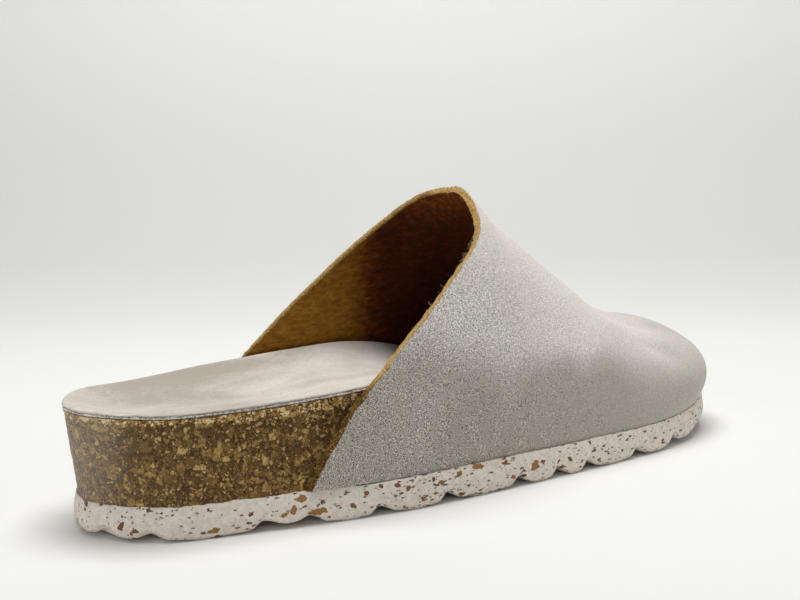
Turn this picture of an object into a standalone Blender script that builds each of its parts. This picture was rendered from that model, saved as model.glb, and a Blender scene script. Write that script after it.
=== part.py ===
"""Closed-toe slide sandal for the right foot: lugged outsole, cork footbed, insole and one-piece vamp.

Sizes are in millimetres and turned to metres where a mesh is made. A station is a distance from the heel's
back towards the toe. Outer is the little-toe side, at -Y, and inner the big-toe side, at +Y. The origin is on
the floor under the middle of the sandal, with +X to the toe and +Z up.
"""

from collections import namedtuple

import bmesh
import bpy
import numpy as np

MM = 0.001
OUTER, INNER = -1, 1

# Driving sizes
BODY_LENGTH = 258.0  # cork body, heel's back to toe's tip
TIP_SIDE = 11.0  # how far the toe's tip lies to the inner side of the heel's axis
SOLE_THICKNESS = 10.2
TOE_THICKNESS = 8.6  # outsole at the toe's tip
TOE_SPRING = 7.6
SPRING_START = 182.0
INSOLE_THICKNESS = 1.4
VAMP_WALL = 2.4  # suede and lining together
SEAT_GAP = 0.3  # between pieces that touch on the real sandal

# Plan outline of the cork body at its base: reach from the heel's axis to either side
Outline = namedtuple("Outline", "station outer inner")
OUTLINE = (
    Outline(12, 21.6, 24.2),
    Outline(30, 29.0, 30.6),
    Outline(55, 35.6, 32.4),
    Outline(85, 40.6, 31.2),
    Outline(115, 42.0, 32.0),
    Outline(145, 43.0, 37.6),
    Outline(175, 43.8, 45.0),
    Outline(205, 42.6, 48.6),
    Outline(230, 34.8, 45.0),
    Outline(248, 19.6, 34.6),
)

# Footbed surface: height of its rim on either side and of its middle, and the sideways lean of the cork's side
Footbed = namedtuple("Footbed", "station outer middle inner lean")
FOOTBED = (
    Footbed(0, 37.6, 37.6, 37.6, 3.4),
    Footbed(12, 37.3, 34.0, 37.3, 2.4),
    Footbed(30, 37.0, 31.8, 37.0, -0.2),
    Footbed(60, 38.0, 31.0, 38.8, -2.2),
    Footbed(90, 39.6, 32.4, 40.2, -2.6),
    Footbed(115, 38.8, 32.2, 40.2, -3.2),
    Footbed(140, 33.0, 27.6, 36.0, -4.0),
    Footbed(165, 26.5, 21.0, 28.0, -2.4),
    Footbed(195, 22.0, 17.6, 22.4, -1.0),
    Footbed(225, 21.4, 18.0, 21.4, -1.0),
    Footbed(258, 23.6, 23.6, 23.6, -1.0),
)
CUP_EXPONENT = 2.8  # how late the footbed's bowl turns up towards its rim

# Vamp sections: height and side of the ridge, and the arch's fullness on either side, where 2 is an ellipse
Section = namedtuple("Section", "station ridge ridge_side outer inner")
SECTIONS = (
    Section(50, 115.0, -2.0, 2.15, 2.1),
    Section(100, 109.0, -2.0, 2.25, 2.0),
    Section(128, 100.9, -2.0, 2.1, 2.0),
    Section(138, 95.2, -2.0, 1.9, 1.9),
    Section(143, 90.6, -2.0, 1.75, 1.85),
    Section(152, 84.0, -1.0, 1.8, 1.82),
    Section(162, 76.0, 0.0, 1.9, 1.9),
    Section(172, 68.4, 1.0, 2.0, 2.0),
    Section(184, 59.4, 2.0, 2.1, 2.1),
    Section(196, 51.4, 3.0, 2.2, 2.2),
    Section(206, 46.8, 3.0, 2.36, 2.36),
    Section(216, 43.9, 2.5, 2.57, 2.57),
    Section(230, 41.7, 2.5, 2.6, 2.6),
    Section(262, 41.0, 2.5, 2.6, 2.6),
)
SPINE_END = 226.0  # where the ridge ends over the toes
SPINE_BEND = 150.0  # from here on the sections fan out round the toe
SWELL_PEAK = 6.75  # brings the swell to 1 at a third of the height, where it is widest
TOE_BULGE = 0.075  # swell of the wall over its foot at the toe, as a share of the section
SIDE_BULGE = 0.02
TOE_FOOT_LIFT = 1.8  # lift of the inside's foot at the toe, where the swell tilts the wall's lower edge

# Collar: stations of the vamp's cut edge, from the sole (rise 0) to the ridge (rise 1)
Collar = namedtuple("Collar", "rise outer inner")
COLLAR = (
    Collar(0.0, 53.3, 52.0),
    Collar(0.1, 65.0, 64.5),
    Collar(0.2, 80.4, 79.2),
    Collar(0.3, 96.4, 93.9),
    Collar(0.4, 110.2, 108.4),
    Collar(0.5, 121.4, 120.2),
    Collar(0.6, 127.9, 127.8),
    Collar(0.7, 131.2, 132.5),
    Collar(0.8, 133.8, 135.6),
    Collar(0.9, 136.4, 137.5),
    Collar(1.0, 138.4, 138.4),
)

# Outsole: how far it stands out from the cork's foot, and the shape of its side from top to bottom
SOLE_REACH = ((0, 0.5), (42, 0.6), (58, 1.6), (80, 3.0), (205, 3.0), (240, 2.4), (258, 2.2))
SOLE_SIDE = ((1.0, 0.0), (0.68, 0.7), (0.3, 1.0), (0.0, -0.2))

# Lugs: stations of the grooves on the outer edge, their depth, and the lift of the lug in front of each
Groove = namedtuple("Groove", "station depth lift")
GROOVES = (
    Groove(2, 2.8, 0.8),
    Groove(10, 2.4, 0.0),
    Groove(40, 2.8, 1.5),
    Groove(54, 2.8, 0.0),
    Groove(76, 2.4, 0.0),
    Groove(100, 3.0, 0.0),
    Groove(129.5, 3.0, 0.0),
    Groove(147, 2.8, 0.0),
    Groove(161, 2.8, 0.0),
    Groove(186, 2.8, 0.0),
    Groove(207, 2.8, 0.0),
    Groove(229, 2.6, 0.0),
    Groove(246, 2.4, 0.0),
)
HEEL_LIFT = 1.0  # of the lug at the heel's back
GROOVE_FLOOR = 3.6  # width of a groove's floor along the edge
GROOVE_MOUTH = 8.6  # width of a groove at the tread
GROOVE_STEPS = ((-1, GROOVE_MOUTH), (-1, GROOVE_FLOOR), (1, GROOVE_FLOOR), (1, GROOVE_MOUTH))

# Mesh density
BODY_ROWS = 56
FOOTBED_COLUMNS = 11
TREAD_PITCH = 6.0
TREAD_COLUMNS = 4
VAMP_ROWS = 36
VAMP_COLUMNS = 15
OUTLINE_SAMPLES = 1200
OUTLINE_OVERLAP = 4  # points repeated past either end, so that the outline closes smoothly
WELD = 0.01  # points nearer than this are one
SHARP_EDGE = 40.0  # degrees between faces from which an edge shows


def smooth(at, knots, values):
    """A smooth curve through the points (knots, values), read at the places given."""
    knots = np.asarray(knots, float)
    values = np.asarray(values, float)
    slopes = np.gradient(values, knots)
    at = np.clip(at, knots[0], knots[-1])
    i = np.clip(np.searchsorted(knots, at) - 1, 0, len(knots) - 2)
    width = knots[i + 1] - knots[i]
    u = (at - knots[i]) / width
    start = values[i] * (1 + 2 * u) + slopes[i] * width * u
    end = values[i + 1] * (3 - 2 * u) - slopes[i + 1] * width * (1 - u)
    return start * (1 - u) ** 2 + end * u**2


def column(table, name, station):
    """A named column of a table, read smoothly at the stations given."""
    return smooth(station, [row.station for row in table], [getattr(row, name) for row in table])


def half_outlines():
    """The outline from heel to toe on either side: arc shares, points and outward normals."""
    outer = [(row.station, -row.outer) for row in OUTLINE]
    inner = [(row.station, row.inner) for row in reversed(OUTLINE)]
    ring = np.array([(0.0, 0.0), *outer, (BODY_LENGTH, TIP_SIDE), *inner])
    lap = OUTLINE_OVERLAP
    padded = np.concatenate([ring[-lap:], ring, ring[: lap + 1]])
    chords = np.linalg.norm(np.diff(padded, axis=0), axis=1)
    knots = np.concatenate([[0.0], np.cumsum(np.sqrt(chords))])
    heel, tip, heel_again = knots[lap], knots[lap + len(outer) + 1], knots[lap + len(ring)]
    halves = {}
    for side, stop in ((OUTER, heel), (INNER, heel_again)):
        at = np.linspace(stop, tip, OUTLINE_SAMPLES)
        points = np.stack([smooth(at, knots, padded[:, axis]) for axis in (0, 1)], axis=1)
        along = np.gradient(points, axis=0)
        normals = np.stack([along[:, 1], -along[:, 0]], axis=1) * -side
        normals /= np.linalg.norm(normals, axis=1)[:, None]
        normals[0], normals[-1] = (-1.0, 0.0), (1.0, 0.0)
        arc = np.concatenate([[0.0], np.cumsum(np.linalg.norm(np.diff(points, axis=0), axis=1))])
        halves[side] = (arc / arc[-1], points, normals)
    return halves


HALVES = half_outlines()


def edge(side, share, grow):
    """Station and side of the outline at an arc share from heel to toe, moved outwards by grow."""
    shares, points, normals = HALVES[side]
    station, across = [
        np.interp(share, shares, points[:, axis]) + grow * np.interp(share, shares, normals[:, axis])
        for axis in (0, 1)
    ]
    return station, across


def share_at(side, station):
    """Arc share of the outline point at a station."""
    shares, points, _ = HALVES[side]
    return np.interp(station, np.maximum.accumulate(points[:, 0]), shares)


def spring(station):
    """Lift of the sole towards the toe."""
    run = np.clip((station - SPRING_START) / (BODY_LENGTH - SPRING_START), 0, None)
    return TOE_SPRING * run**2


def sole_top(station):
    """Height of the outsole's flat top, which the cork and the vamp sit on."""
    return SOLE_THICKNESS + spring(station) * (1 - (SOLE_THICKNESS - TOE_THICKNESS) / TOE_SPRING)


def footbed_height(station, across):
    """Top of the insole, where across runs from -1 at the outer rim to 1 at the inner rim."""
    middle = column(FOOTBED, "middle", station)
    outer = column(FOOTBED, "outer", station)
    inner = column(FOOTBED, "inner", station)
    rim = np.where(across < 0, outer, inner)
    return middle + (rim - middle) * np.abs(across) ** CUP_EXPONENT


def spine_station(share_station):
    """Where on the ridge a section ends, for the station at which it starts on the outline."""
    reach = BODY_LENGTH - SPINE_BEND
    keep = SPINE_END - SPINE_BEND
    run = np.clip((share_station - SPINE_BEND) / reach, 0, 1)
    ease = run - (1 - keep / reach) * run**2 * (2 - run)
    return np.where(share_station < SPINE_BEND, share_station, SPINE_BEND + reach * ease)


def vamp_point(side, share, rise):
    """Inside of the vamp: share runs along the outer outline, rise from the sole (0) to the ridge (1)."""
    start = edge(OUTER, share, 0.0)[0]
    if side == INNER:
        share = share_at(INNER, start)
    station, across = edge(side, share, SEAT_GAP)
    ridge_station = spine_station(start)
    ridge_side = column(SECTIONS, "ridge_side", ridge_station)
    fullness = column(SECTIONS, "outer" if side == OUTER else "inner", start)
    angle = rise * np.pi / 2
    out = np.cos(angle) ** (2 / fullness)
    up = np.sin(angle) ** (2 / fullness)
    toe = np.clip((start - SPINE_BEND) / (BODY_LENGTH - SPINE_BEND), 0, 1) ** 2
    out = out * (1 + (SIDE_BULGE + (TOE_BULGE - SIDE_BULGE) * toe) * SWELL_PEAK * up * (1 - up) ** 2)
    x = ridge_station + (station - ridge_station) * out
    y = ridge_side + (across - ridge_side) * out
    foot = sole_top(x) + SEAT_GAP + TOE_FOOT_LIFT * toe
    z = foot + (column(SECTIONS, "ridge", x) - VAMP_WALL - foot) * up
    return np.stack([x, y, z], axis=-1)


def centred(points):
    """Millimetres from the heel to metres about the sandal's middle."""
    return (np.asarray(points) - FRAME_SHIFT) * MM


def sole_reach(share_station):
    """How far the outsole stands out from the cork's foot at a station."""
    stations, reaches = zip(*SOLE_REACH)
    return smooth(share_station, stations, reaches)


def frame_shift():
    """Middle of the sandal's box, from the heel's rim to the toe and over the width of the outsole."""
    heel = -FOOTBED[0].lean
    toe = vamp_point(OUTER, 1.0, np.linspace(0, 1, OUTLINE_SAMPLES))[:, 0].max() + VAMP_WALL
    share = np.linspace(0, 1, OUTLINE_SAMPLES)
    widest = max(out for _, out in SOLE_SIDE)
    reaches = [sole_reach(edge(side, share, 0.0)[0]) + widest for side in (OUTER, INNER)]
    right = edge(OUTER, share, reaches[0])[1].min()
    left = edge(INNER, share, reaches[1])[1].max()
    return np.array([(heel + toe) / 2, (right + left) / 2, 0.0])


FRAME_SHIFT = frame_shift()


def new_object(name, bm, material, collection):
    """A mesh object from a bmesh, smooth but for its sharp edges."""
    mesh = bpy.data.meshes.new(name)
    bm.to_mesh(mesh)
    bm.free()
    mesh.shade_smooth()
    mesh.set_sharp_from_angle(angle=np.radians(SHARP_EDGE))
    mesh.materials.append(material)
    obj = bpy.data.objects.new(name, mesh)
    collection.objects.link(obj)
    return obj


def loft(rings):
    """A closed body through rings of equal count whose first and last ring close up to a line."""
    bm = bmesh.new()
    rows = [[bm.verts.new(point) for point in centred(ring)] for ring in rings]
    count = len(rows[0])
    for row, ahead in zip(rows, rows[1:]):
        for k in range(count):
            j = (k + 1) % count
            bm.faces.new((row[k], ahead[k], ahead[j], row[j]))
    bmesh.ops.remove_doubles(bm, verts=bm.verts, dist=WELD * MM)
    bmesh.ops.dissolve_degenerate(bm, edges=bm.edges, dist=WELD * MM)
    return bm


def rung(share, outer_grow, inner_grow, count):
    """Plan points straight across the body at an arc share, from the outer edge to the inner."""
    start = np.array(edge(OUTER, share, outer_grow))
    end = np.array(edge(INNER, share, inner_grow))
    across = np.linspace(0, 1, count + 1)[:, None]
    return start + (end - start) * across


def body_shares():
    """Arc shares of the sections through the cork and the insole."""
    return np.linspace(0, 1, BODY_ROWS + 1)


def footbed_row(share):
    """Plan points across the footbed at its rim, and the height of its top there."""
    leans = [column(FOOTBED, "lean", edge(side, share, 0.0)[0]) for side in (OUTER, INNER)]
    plan = rung(share, *leans, FOOTBED_COLUMNS)
    at_an_end = share in (0.0, 1.0)
    across = np.linspace(-1, -1 if at_an_end else 1, FOOTBED_COLUMNS + 1)
    return plan, footbed_height(plan[:, 0], across)


def build_insole(material, collection):
    """Suede cover of the footbed, of even thickness."""
    rings = []
    for share in body_shares():
        plan, top = footbed_row(share)
        upper = np.column_stack([plan, top])
        under = np.column_stack([plan, top - INSOLE_THICKNESS])
        rings.append(np.concatenate([upper, under[::-1]]))
    return new_object("insole", loft(rings), material, collection)


def build_footbed(material, collection):
    """Cork body between the outsole and the insole, hollowed for the heel and raised at the arch."""
    rings = []
    for share in body_shares():
        plan, top = footbed_row(share)
        upper = np.column_stack([plan, top - INSOLE_THICKNESS - SEAT_GAP])
        base = rung(share, 0.0, 0.0, 1)
        under = np.column_stack([base, sole_top(base[:, 0]) + SEAT_GAP])
        waist = (upper[[0, -1]] + under) / 2
        rings.append(np.concatenate([upper, waist[1:], under[::-1], waist[:1]]))
    return new_object("cork_footbed", loft(rings), material, collection)


def tread_rows():
    """Arc shares of the outsole's sections and the tread's lift there, with a section at each groove's edges."""
    _, points, _ = HALVES[OUTER]
    length = np.linalg.norm(np.diff(points, axis=0), axis=1).sum()
    places = [0.0]
    lifts = [HEEL_LIFT]
    lift = HEEL_LIFT
    for groove in GROOVES:
        middle = share_at(OUTER, groove.station) * length
        places += [middle + step * width / 2 for step, width in GROOVE_STEPS]
        lifts += [lift, groove.depth, groove.depth, groove.lift]
        lift = groove.lift
    places.append(length)
    lifts.append(lift)
    rows = [0.0]
    for start, stop in zip(places, places[1:]):
        count = int(np.ceil((stop - start) / TREAD_PITCH))
        rows += list(np.linspace(start, stop, count + 1)[1:])
    return [(row / length, np.interp(row, places, lifts)) for row in rows]


def build_outsole(material, collection):
    """Outsole with its grooves cut across the tread and a rounded side."""
    rings = []
    for share, lift in tread_rows():
        reaches = [sole_reach(edge(side, share, 0.0)[0]) for side in (OUTER, INNER)]
        walls = []
        for side, reach in zip((OUTER, INNER), reaches):
            wall = []
            for height, out in SOLE_SIDE:
                station, across = edge(side, share, reach + out)
                low = spring(station) + lift
                wall.append((station, across, low + (sole_top(station) - low) * height))
            walls.append(wall)
        tread = rung(share, *[reach + SOLE_SIDE[-1][1] for reach in reaches], TREAD_COLUMNS)[1:-1]
        under = np.column_stack([tread, spring(tread[:, 0]) + lift])
        rings.append(np.array([*walls[0][::-1], *walls[1], *under[::-1]]))
    return new_object("outsole", loft(rings), material, collection)


def build_upper(material, collection):
    """One-piece vamp: an open sheet from the collar round the toe, given its wall outwards."""
    bm = bmesh.new()
    rises = np.linspace(0, 1, VAMP_COLUMNS + 1)
    along = np.linspace(0, 1, VAMP_ROWS + 1)
    for side, name in ((OUTER, "outer"), (INNER, "inner")):
        collar = smooth(rises, [row.rise for row in COLLAR], [getattr(row, name) for row in COLLAR])
        start = share_at(OUTER, collar)
        share = start + (1 - start) * along[:, None]
        points = centred(vamp_point(side, share, np.broadcast_to(rises, share.shape)))
        grid = [[bm.verts.new(point) for point in row] for row in points]
        for row, ahead in zip(grid, grid[1:]):
            for k in range(VAMP_COLUMNS):
                face = (row[k], ahead[k], ahead[k + 1], row[k + 1])
                bm.faces.new(face if side == OUTER else face[::-1])
    bmesh.ops.remove_doubles(bm, verts=bm.verts, dist=WELD * MM)
    obj = new_object("upper", bm, material, collection)
    wall = obj.modifiers.new("wall", "SOLIDIFY")
    wall.thickness = VAMP_WALL * MM
    wall.offset = 1.0
    wall.use_even_offset = True
    return obj


def material_of(name, colour, roughness):
    """Plain finish for a piece, with no metal in it."""
    material = bpy.data.materials.new(name)
    material.use_nodes = True
    shader = material.node_tree.nodes["Principled BSDF"]
    shader.inputs["Base Color"].default_value = (*colour, 1.0)
    shader.inputs["Roughness"].default_value = roughness
    shader.inputs["Metallic"].default_value = 0.0
    return material


def main():
    """The sandal in a collection of its own."""
    for obj in list(bpy.data.objects):
        bpy.data.objects.remove(obj)
    sandal = bpy.data.collections.new("slide_sandal")
    bpy.context.scene.collection.children.link(sandal)
    build_outsole(material_of("foam_rubber", (0.62, 0.58, 0.53), 0.8), sandal)
    build_footbed(material_of("cork", (0.16, 0.10, 0.05), 0.85), sandal)
    build_insole(material_of("insole_suede", (0.55, 0.52, 0.48), 0.95), sandal)
    build_upper(material_of("grey_suede", (0.36, 0.34, 0.33), 0.95), sandal)


main()
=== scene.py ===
"""Looks of a closed-toe slide sandal: suede vamp, suede insole, cork footbed and foam outsole.

Shapes are worked out in millimetres. A station is a distance from the heel's back towards the toe, outer is
the little-toe side, inner the big-toe side, and heights are above the floor. placed() turns them to the
frame's metres.
"""

from collections import namedtuple

import bpy
import numpy as np
from mathutils import Matrix, Vector, noise


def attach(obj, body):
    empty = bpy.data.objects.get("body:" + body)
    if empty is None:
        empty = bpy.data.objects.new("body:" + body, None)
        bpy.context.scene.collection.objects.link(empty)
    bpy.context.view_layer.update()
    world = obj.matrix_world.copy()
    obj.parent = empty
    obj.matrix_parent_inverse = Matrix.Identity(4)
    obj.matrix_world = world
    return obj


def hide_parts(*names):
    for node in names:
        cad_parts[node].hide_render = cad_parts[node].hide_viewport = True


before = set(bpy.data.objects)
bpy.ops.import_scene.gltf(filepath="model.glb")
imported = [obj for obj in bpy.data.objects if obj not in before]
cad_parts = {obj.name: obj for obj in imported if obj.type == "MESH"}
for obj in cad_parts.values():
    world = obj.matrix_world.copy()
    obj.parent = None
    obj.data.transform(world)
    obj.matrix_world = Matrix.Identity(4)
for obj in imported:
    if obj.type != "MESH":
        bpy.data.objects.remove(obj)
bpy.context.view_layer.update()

MM = 0.001
OUTER, INNER = -1, 1
HEEL_TO_MIDDLE = 129.6198  # station of the frame's origin
AXIS_TO_MIDDLE = 2.1028  # side of the frame's origin, from the heel's axis

# Sizes that the pieces share
BODY_LENGTH = 258.0
TIP_SIDE = 11.0
SOLE_THICKNESS = 10.2
TOE_THICKNESS = 8.6
TOE_SPRING = 7.6
SPRING_START = 182.0
INSOLE_THICKNESS = 1.4
SEAT_GAP = 0.3  # between pieces that lie against one another
CUP_EXPONENT = 2.8
OUTLINE_SAMPLES = 2400

Outline = namedtuple("Outline", "station outer inner")
OUTLINE = (
    Outline(12, 21.6, 24.2),
    Outline(30, 29.0, 30.6),
    Outline(55, 35.6, 32.4),
    Outline(85, 40.6, 31.2),
    Outline(115, 42.0, 32.0),
    Outline(145, 43.0, 37.6),
    Outline(175, 43.8, 45.0),
    Outline(205, 42.6, 48.6),
    Outline(230, 34.8, 45.0),
    Outline(248, 19.6, 34.6),
)

# Heights of the insole's top at its rims and middle, and how far the cork's rim leans out from its foot
Footbed = namedtuple("Footbed", "station outer middle inner lean")
FOOTBED = (
    Footbed(0, 37.6, 37.6, 37.6, 3.4),
    Footbed(12, 37.3, 34.0, 37.3, 2.4),
    Footbed(30, 37.0, 31.8, 37.0, -0.2),
    Footbed(60, 38.0, 31.0, 38.8, -2.2),
    Footbed(90, 39.6, 32.4, 40.2, -2.6),
    Footbed(115, 38.8, 32.2, 40.2, -3.2),
    Footbed(140, 33.0, 27.6, 36.0, -4.0),
    Footbed(165, 26.5, 21.0, 28.0, -2.4),
    Footbed(195, 22.0, 17.6, 22.4, -1.0),
    Footbed(225, 21.4, 18.0, 21.4, -1.0),
    Footbed(258, 23.6, 23.6, 23.6, -1.0),
)


# Shape of the last


def unit(vectors):
    """Vectors brought to length 1."""
    return vectors / np.linalg.norm(vectors, axis=-1, keepdims=True)


def smooth(at, knots, values):
    """A smooth curve through the points (knots, values), read at the places given."""
    knots = np.asarray(knots, float)
    values = np.asarray(values, float)
    slopes = np.gradient(values, knots)
    at = np.clip(at, knots[0], knots[-1])
    i = np.clip(np.searchsorted(knots, at) - 1, 0, len(knots) - 2)
    width = knots[i + 1] - knots[i]
    u = (at - knots[i]) / width
    start = values[i] * (1 + 2 * u) + slopes[i] * width * u
    end = values[i + 1] * (3 - 2 * u) - slopes[i + 1] * width * (1 - u)
    return start * (1 - u) ** 2 + end * u**2


def column(table, name, at):
    """A named column of a table, read smoothly along the table's first column."""
    return smooth(at, [row[0] for row in table], [getattr(row, name) for row in table])


Half = namedtuple("Half", "shares points normals length")


def half_outlines():
    """The outline from heel to toe on either side: arc shares, points, outward normals and its length."""
    outer = [(row.station, -row.outer) for row in OUTLINE]
    inner = [(row.station, row.inner) for row in reversed(OUTLINE)]
    ring = np.array([(0.0, 0.0), *outer, (BODY_LENGTH, TIP_SIDE), *inner])
    lap = 4  # points repeated past both ends, so that the curve runs on smoothly
    padded = np.concatenate([ring[-lap:], ring, ring[: lap + 1]])
    chords = np.linalg.norm(np.diff(padded, axis=0), axis=1)
    knots = np.concatenate([[0.0], np.cumsum(np.sqrt(chords))])
    heel, tip, heel_again = knots[lap], knots[lap + len(outer) + 1], knots[lap + len(ring)]
    halves = {}
    for side, stop in ((OUTER, heel), (INNER, heel_again)):
        at = np.linspace(stop, tip, OUTLINE_SAMPLES)
        points = np.stack([smooth(at, knots, padded[:, axis]) for axis in (0, 1)], axis=1)
        along = np.gradient(points, axis=0)
        normals = unit(np.stack([along[:, 1], -along[:, 0]], axis=1) * -side)
        normals[0], normals[-1] = (-1.0, 0.0), (1.0, 0.0)
        arc = np.concatenate([[0.0], np.cumsum(np.linalg.norm(np.diff(points, axis=0), axis=1))])
        halves[side] = Half(arc / arc[-1], points, normals, arc[-1])
    return halves


HALVES = half_outlines()


def edge(side, share, grow):
    """Station and side of the outline at an arc share from heel to toe, moved outwards by grow."""
    half = HALVES[side]
    return [
        np.interp(share, half.shares, half.points[:, axis])
        + grow * np.interp(share, half.shares, half.normals[:, axis])
        for axis in (0, 1)
    ]


def share_at(side, station):
    """Arc share of the outline point at a station."""
    half = HALVES[side]
    return np.interp(station, np.maximum.accumulate(half.points[:, 0]), half.shares)


def spring(station):
    """Lift of the sole towards the toe."""
    run = np.clip((station - SPRING_START) / (BODY_LENGTH - SPRING_START), 0, None)
    return TOE_SPRING * run**2


def sole_top(station):
    """Height of the outsole's flat top, which the cork and the vamp sit on."""
    return SOLE_THICKNESS + spring(station) * (1 - (SOLE_THICKNESS - TOE_THICKNESS) / TOE_SPRING)


def placed(points):
    """Millimetres from the heel to metres in the frame."""
    return (np.asarray(points) - (HEEL_TO_MIDDLE, AXIS_TO_MIDDLE, 0.0)) * MM


# Helpers for meshes

WELD = 0.01  # points nearer than this are one
NOISE_REACH = 1.6  # brings the noise to about -1 to 1

# A soft change from 0 to the most, random bumps that their shift tells apart, and a soft round change of tone
Ease = namedtuple("Ease", "start stop most")
Rough = namedtuple("Rough", "height size shift")
Patch = namedtuple("Patch", "place reach change")


def eased(ease, value):
    """Runs softly from 0 at the ease's start to its most at its stop, which may be the lower of the two."""
    t = np.clip((value - ease.start) / (ease.stop - ease.start), 0, 1)
    return ease.most * (t * t * (3 - 2 * t))


def bell(gap, reach):
    """Falls softly from 1 at no gap to almost nothing at twice the reach."""
    return np.exp(-((gap / reach) ** 2))


def patched(tone, points, patches):
    """A tone with its soft round patches added."""
    for patch in patches:
        tone = tone + patch.change * bell(np.linalg.norm(points - patch.place, axis=-1), patch.reach)
    return tone


def bumps(points, size, shift=0.0):
    """Random heights from about -1 to 1 at points in millimetres, rising and falling over that size."""
    flat = np.asarray(points).reshape(-1, 3) / size + shift
    return np.array([noise.noise(p) for p in flat.tolist()]).reshape(np.shape(points)[:-1]) * NOISE_REACH


def roughness(points, layers):
    """Random heights at points, added up over layers of roughness."""
    return sum(layer.height * bumps(points, layer.size, layer.shift) for layer in layers)


def laid_grid(name, points, materials, finish=None, traits=None, sharp=50.0):
    """A grid of faces whose corners are laid on points in millimetres and welded where they meet.

    points is rows by columns, finish a material number for each face if there is more than one, traits named
    values for each corner, and sharp the angle in degrees past which an edge is hard.
    """
    rows, columns = points.shape[0] - 1, points.shape[1] - 1
    bpy.ops.object.select_all(action="DESELECT")
    bpy.ops.mesh.primitive_grid_add(x_subdivisions=columns, y_subdivisions=rows, size=2.0)
    piece = bpy.context.object
    piece.name = piece.data.name = name
    mesh = piece.data
    flat = np.empty(len(mesh.vertices) * 3)
    mesh.vertices.foreach_get("co", flat)
    flat = flat.reshape(-1, 3)
    i = np.rint((flat[:, 1] + 1) / 2 * rows).astype(int)
    j = np.rint((flat[:, 0] + 1) / 2 * columns).astype(int)
    mesh.vertices.foreach_set("co", placed(points[i, j]).astype(np.float32).ravel())
    for trait, values in (traits or {}).items():
        attribute = mesh.attributes.new(trait, "FLOAT", "POINT")
        attribute.data.foreach_set("value", np.asarray(values, np.float32)[i, j])
    if finish is not None:
        corners = np.empty(len(mesh.loops), int)
        mesh.loops.foreach_get("vertex_index", corners)
        corners = corners.reshape(-1, 4)
        numbers = finish[i[corners].min(axis=1), j[corners].min(axis=1)]
        mesh.polygons.foreach_set("material_index", numbers.astype(np.int32))
    for material in materials:
        mesh.materials.append(material)
    bpy.ops.object.mode_set(mode="EDIT")
    bpy.ops.mesh.select_all(action="SELECT")
    bpy.ops.mesh.remove_doubles(threshold=WELD * MM)
    bpy.ops.mesh.dissolve_degenerate(threshold=WELD * MM)
    bpy.ops.mesh.normals_make_consistent(inside=False)
    bpy.ops.object.mode_set(mode="OBJECT")
    bpy.ops.object.shade_smooth_by_angle(angle=np.radians(sharp))
    return piece


def dress(piece, slot, *nodes):
    """Sets a finished piece on the sandal, in place of its solids."""
    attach(piece, "root")
    if nodes:
        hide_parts(*nodes)


# Helpers for materials

# A Mix node that mixes colours: its input sockets, and its kind of data and output
SHARE, UNDER, OVER = 0, 6, 7
OF_COLOURS = {"data_type": "RGBA", "out": 2}


def linear(hex_colour):
    """Linear colour of an sRGB hex value."""
    parts = [int(hex_colour[k : k + 2], 16) / 255 for k in (1, 3, 5)]
    return (*[p / 12.92 if p <= 0.04045 else ((p + 0.055) / 1.055) ** 2.4 for p in parts], 1.0)


def pitch(size):
    """Scale of a pattern on Object coordinates whose features are that many millimetres apart."""
    return 1 / (size * MM)


def add(tree, kind, inputs=None, stops=None, out=0, **settings):
    """A node with its settings, its inputs and the stops of a colour ramp. Gives one of its outputs.

    An input is a value, or another node's output to link.
    """
    made = tree.nodes.new("ShaderNode" + kind)
    for name, value in settings.items():
        setattr(made, name, value)
    for socket, source in (inputs or {}).items():
        if isinstance(source, bpy.types.NodeSocket):
            tree.links.new(source, made.inputs[socket])
        else:
            made.inputs[socket].default_value = source
    if stops:
        ramp = made.color_ramp.elements
        for place, _ in stops[2:]:
            ramp.new(place)
        for element, (place, colour) in zip(ramp, stops):
            element.position = place
            element.color = linear(colour)
    return made.outputs[out]


def new_finish(name, **values):
    """A new material with its shader's uniform values set, its node tree and the place on the piece."""
    material = bpy.data.materials.new(name)
    material.use_nodes = True
    tree = material.node_tree
    for words, value in values.items():
        socket = words.replace("_", " ").title().replace("Ior", "IOR")
        tree.nodes["Principled BSDF"].inputs[socket].default_value = value
    return material, tree, add(tree, "TexCoord", out="Object")


def finished(material, colour, bump=None):
    """A material with its colour, and its bump if it has one, linked to its shader."""
    tree = material.node_tree
    shader = tree.nodes["Principled BSDF"]
    tree.links.new(colour, shader.inputs["Base Color"])
    if bump:
        tree.links.new(bump, shader.inputs["Normal"])
    return material


def wandering(tree, place, size, reach):
    """A place nudged about at random, over that size and by up to that reach, in millimetres."""
    wander = add(tree, "TexNoise", {"Scale": pitch(size), "Detail": 1.0, "Vector": place}, out="Color")
    centred = add(tree, "VectorMath", {0: wander, 1: (0.5, 0.5, 0.5)}, operation="SUBTRACT")
    far = (2 * reach * MM,) * 3
    return add(tree, "VectorMath", {0: centred, 1: far, 2: place}, operation="MULTIPLY_ADD")


def grains(tree, place, size, share, reach, soft, **settings):
    """Grains scattered through a body: where they show, from 0 to 1, and a random number for each grain.

    share is the part of the grains that shows, reach how near they come to their neighbours, and soft the
    width of their edge.
    """
    cells = add(tree, "TexVoronoi", {"Scale": pitch(size), "Vector": place}, **settings)
    number = add(tree, "SeparateColor", {"Color": cells.node.outputs["Color"]})
    width = {"From Min": reach, "From Max": reach - soft}
    body = add(tree, "MapRange", {"Value": cells, **width}, interpolation_type="SMOOTHSTEP")
    chosen = add(tree, "Math", {0: number, 1: share}, operation="LESS_THAN")
    shown = add(tree, "Math", {0: body, 1: chosen}, operation="MULTIPLY")
    return shown, number.node.outputs["Green"]


# Materials


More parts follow.
